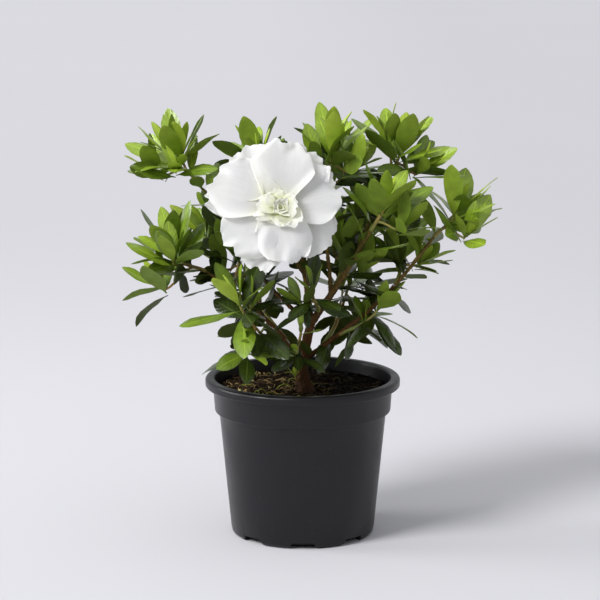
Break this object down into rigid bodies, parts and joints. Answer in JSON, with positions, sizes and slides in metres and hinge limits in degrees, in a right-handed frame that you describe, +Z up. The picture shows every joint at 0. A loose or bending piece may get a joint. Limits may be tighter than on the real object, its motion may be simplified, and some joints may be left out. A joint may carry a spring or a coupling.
{
  "type": "potted azalea shrub",
  "caption": "Young evergreen azalea with a double white flower, whorled oval leaves and woody forking stems, growing in a round black nursery pot with drain notches.",
  "frame": {"origin": "centre of the pot's flat underside", "axes": "+Z up along the pot's axis; the flower faces -Y, and +X is to the right of someone looking at the flower"},
  "size_m": [0.25, 0.1745, 0.2917],
  "materials": {
    "pot_plastic": "satin black injection-moulded plastic",
    "potting_mix": "dark fibrous peat and bark mix",
    "bark": "fine brown bark, redder on young wood",
    "petals": "soft matt white petals",
    "leaves": "half-glossy evergreen leaves, lighter at the shoot tips"
  },
  "bodies": {
    "root": {"pot": "pot_plastic", "potting_mix": "potting_mix", "trunk": "bark", "bough_right": "bark", "bough_left": "bark", "bough_right_low": "bark", "bough_left_low": "bark", "bough_front": "bark", "bough_back_left": "bark", "bough_back_right": "bark", "bough_back": "bark", "bough_left_top": "bark", "bough_top": "bark", "bough_right_top": "bark", "flower_stalk": "bark", "flower": "petals", "foliage_left_top": "leaves", "foliage_left": "leaves", "foliage_back_left_top": "leaves", "foliage_top": "leaves", "foliage_right_top": "leaves", "foliage_front_right": "leaves", "foliage_right": "leaves", "foliage_front_left": "leaves", "foliage_right_low": "leaves", "foliage_front_low": "leaves", "foliage_centre_right": "leaves", "foliage_centre_left": "leaves", "foliage_right_middle": "leaves", "foliage_under_flower": "leaves", "foliage_back_left": "leaves", "foliage_back_right": "leaves", "foliage_back": "leaves", "foliage_back_right_top": "leaves", "foliage_back_left_low": "leaves", "foliage_back_right_low": "leaves", "foliage_back_middle": "leaves"}
  },
  "joints": []
}
